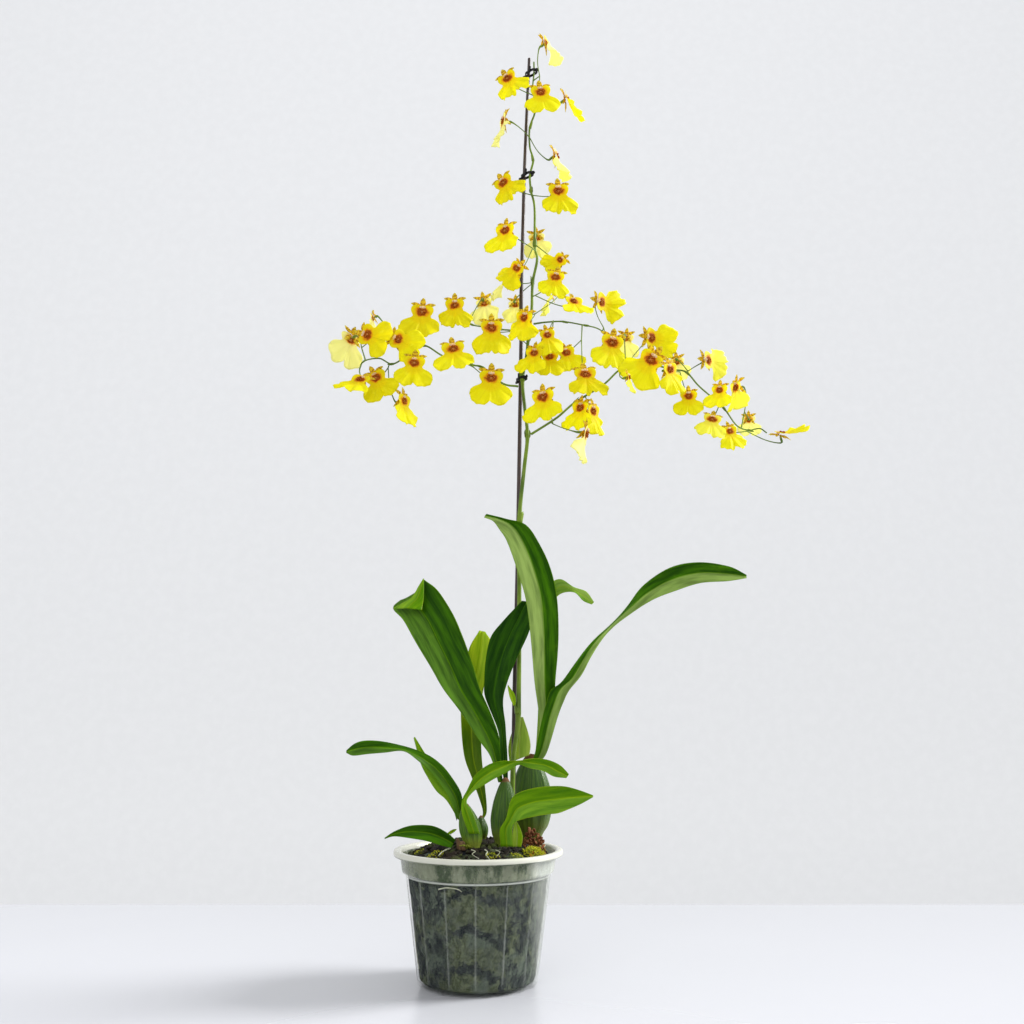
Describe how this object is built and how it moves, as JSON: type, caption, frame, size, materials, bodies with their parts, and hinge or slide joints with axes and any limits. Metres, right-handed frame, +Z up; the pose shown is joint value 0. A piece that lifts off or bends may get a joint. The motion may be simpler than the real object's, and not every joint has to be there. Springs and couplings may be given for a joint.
{
  "type": "potted orchid",
  "caption": "Tall potted orchid with strap leaves, pseudobulbs and branching sprays of small ruffled yellow flowers, clipped to a slim stake in a clear ribbed pot.",
  "frame": {"origin": "middle of the pot's flat underside, where it stands on the table", "axes": "+Z up along the stake, -Y towards the side that the flowers and the front leaves face, +X towards the longer spray of flowers"},
  "size_m": [0.3952, 0.1349, 0.8056],
  "materials": {
    "pot": "clear, slightly milky, glossy",
    "potting_mix": "rough dark bark chips",
    "moss": "soft moss",
    "bark": "rough red-brown bark and root",
    "stake": "dark brown coating, satin",
    "clips": "black, satin",
    "stems": "green living stem, satin",
    "bulbs": "green ribbed bulb, waxy",
    "leaves": "green leaf, waxy",
    "sheaths": "pale green sheath, satin",
    "flowers": "yellow petal, soft"
  },
  "bodies": {
    "root": {"bark_clump": "bark", "branch_lower_left": "stems", "branch_lower_right": "stems", "branch_upper_left": "stems", "branch_upper_right": "stems", "bulb_front": "bulbs", "bulb_left": "bulbs", "bulb_rear": "bulbs", "bulb_small": "bulbs", "clip_lower": "clips", "clip_middle": "clips", "clip_top": "clips", "flower_stem": "stems", "leaf_behind": "leaves", "leaf_big_left": "leaves", "leaf_dark": "leaves", "leaf_front_arch": "leaves", "leaf_front_right": "leaves", "leaf_low_left": "leaves", "leaf_lower_left": "leaves", "leaf_pointed": "leaves", "leaf_right": "leaves", "leaf_slim_rear": "leaves", "leaf_tall": "leaves", "lower_left_flowers_1": "flowers", "lower_left_flowers_2": "flowers", "lower_left_flowers_3": "flowers", "lower_left_flowers_4": "flowers", "lower_left_flowers_5": "flowers", "lower_left_flowers_6": "flowers", "lower_right_flowers_1": "flowers", "lower_right_flowers_2": "flowers", "lower_right_flowers_3": "flowers", "lower_right_flowers_4": "flowers", "lower_right_flowers_5": "flowers", "lower_right_flowers_6": "flowers", "lower_right_flowers_7": "flowers", "lower_right_flowers_8": "flowers", "lower_right_flowers_9": "flowers", "moss_patch": "moss", "pot": "pot", "potting_mix": "potting_mix", "sheath_front": "sheaths", "sheath_stem": "sheaths", "stake": "stake", "top_flowers_1": "flowers", "top_flowers_2": "flowers", "top_flowers_3": "flowers", "top_flowers_4": "flowers", "top_flowers_5": "flowers", "top_flowers_6": "flowers", "top_flowers_7": "flowers", "top_flowers_8": "flowers", "top_flowers_9": "flowers", "upper_left_flowers_1": "flowers", "upper_left_flowers_2": "flowers", "upper_right_flowers_1": "flowers", "upper_right_flowers_2": "flowers", "upper_right_flowers_3": "flowers"}
  },
  "joints": []
}
